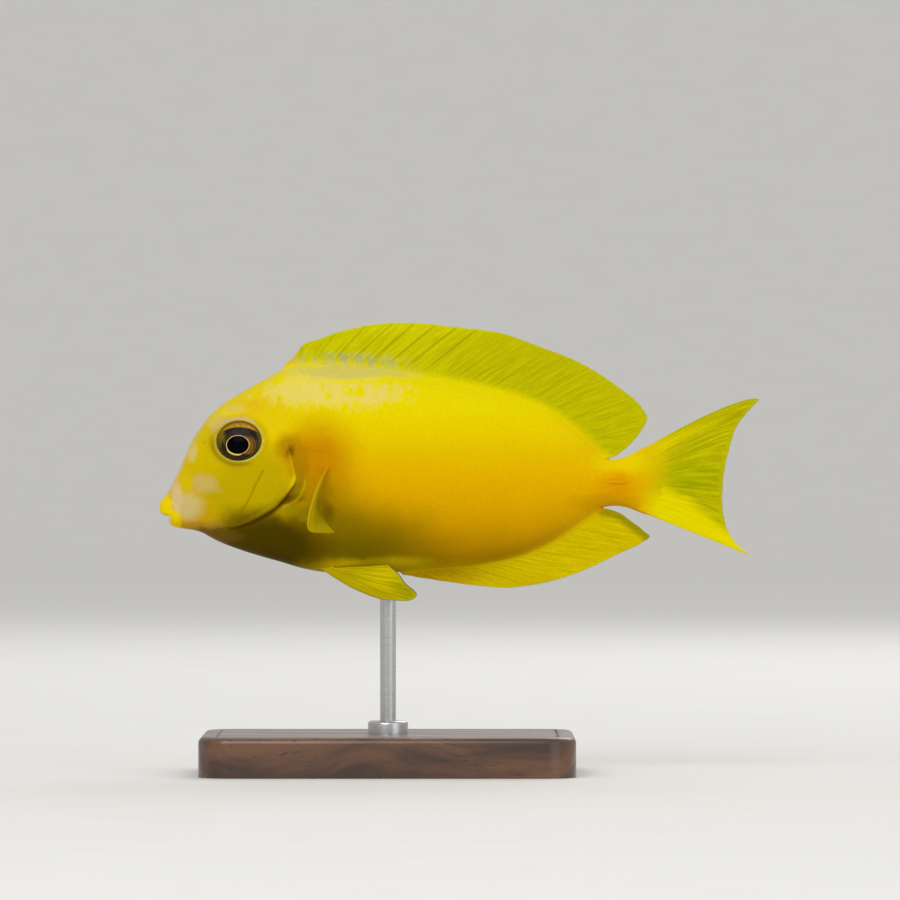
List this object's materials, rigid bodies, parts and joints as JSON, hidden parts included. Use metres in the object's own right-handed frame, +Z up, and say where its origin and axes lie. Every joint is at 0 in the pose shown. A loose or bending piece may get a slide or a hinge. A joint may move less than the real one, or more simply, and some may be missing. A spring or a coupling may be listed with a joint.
{
  "type": "juvenile orangeshoulder tang",
  "caption": "Life-size yellow juvenile surgeonfish with ridged fins, held level above a flat base by one rod, as a still museum display.",
  "frame": {"origin": "centre of the whole part's plan outline, on the level that the stand rests on", "axes": "+X towards the tail fin, -X towards the snout, +Y towards the fish's right flank, +Z up"},
  "size_m": [0.09, 0.04, 0.0678],
  "materials": {
    "skin": "satin, moist skin of minute scales",
    "fin_membrane": "thin, slightly translucent, ribbed by its rays",
    "eye": "clear and glossy over a dark iris",
    "scalpel": "horn-like, smooth",
    "stand_wood": "dark stained and satin varnished",
    "stand_steel": "brushed"
  },
  "bodies": {
    "root": {"head": "skin", "torso": "skin", "tail_stalk": "skin", "dorsal_fin": "fin_membrane", "anal_fin": "fin_membrane", "caudal_fin_upper": "fin_membrane", "caudal_fin_lower": "fin_membrane", "pectoral_fin_left": "fin_membrane", "pectoral_fin_right": "fin_membrane", "pelvic_fin_left": "fin_membrane", "pelvic_fin_right": "fin_membrane", "eye_left": "eye", "eye_right": "eye", "scalpel_left": "scalpel", "scalpel_right": "scalpel", "stand_base": "stand_wood", "stand_rod": "stand_steel"}
  },
  "joints": []
}
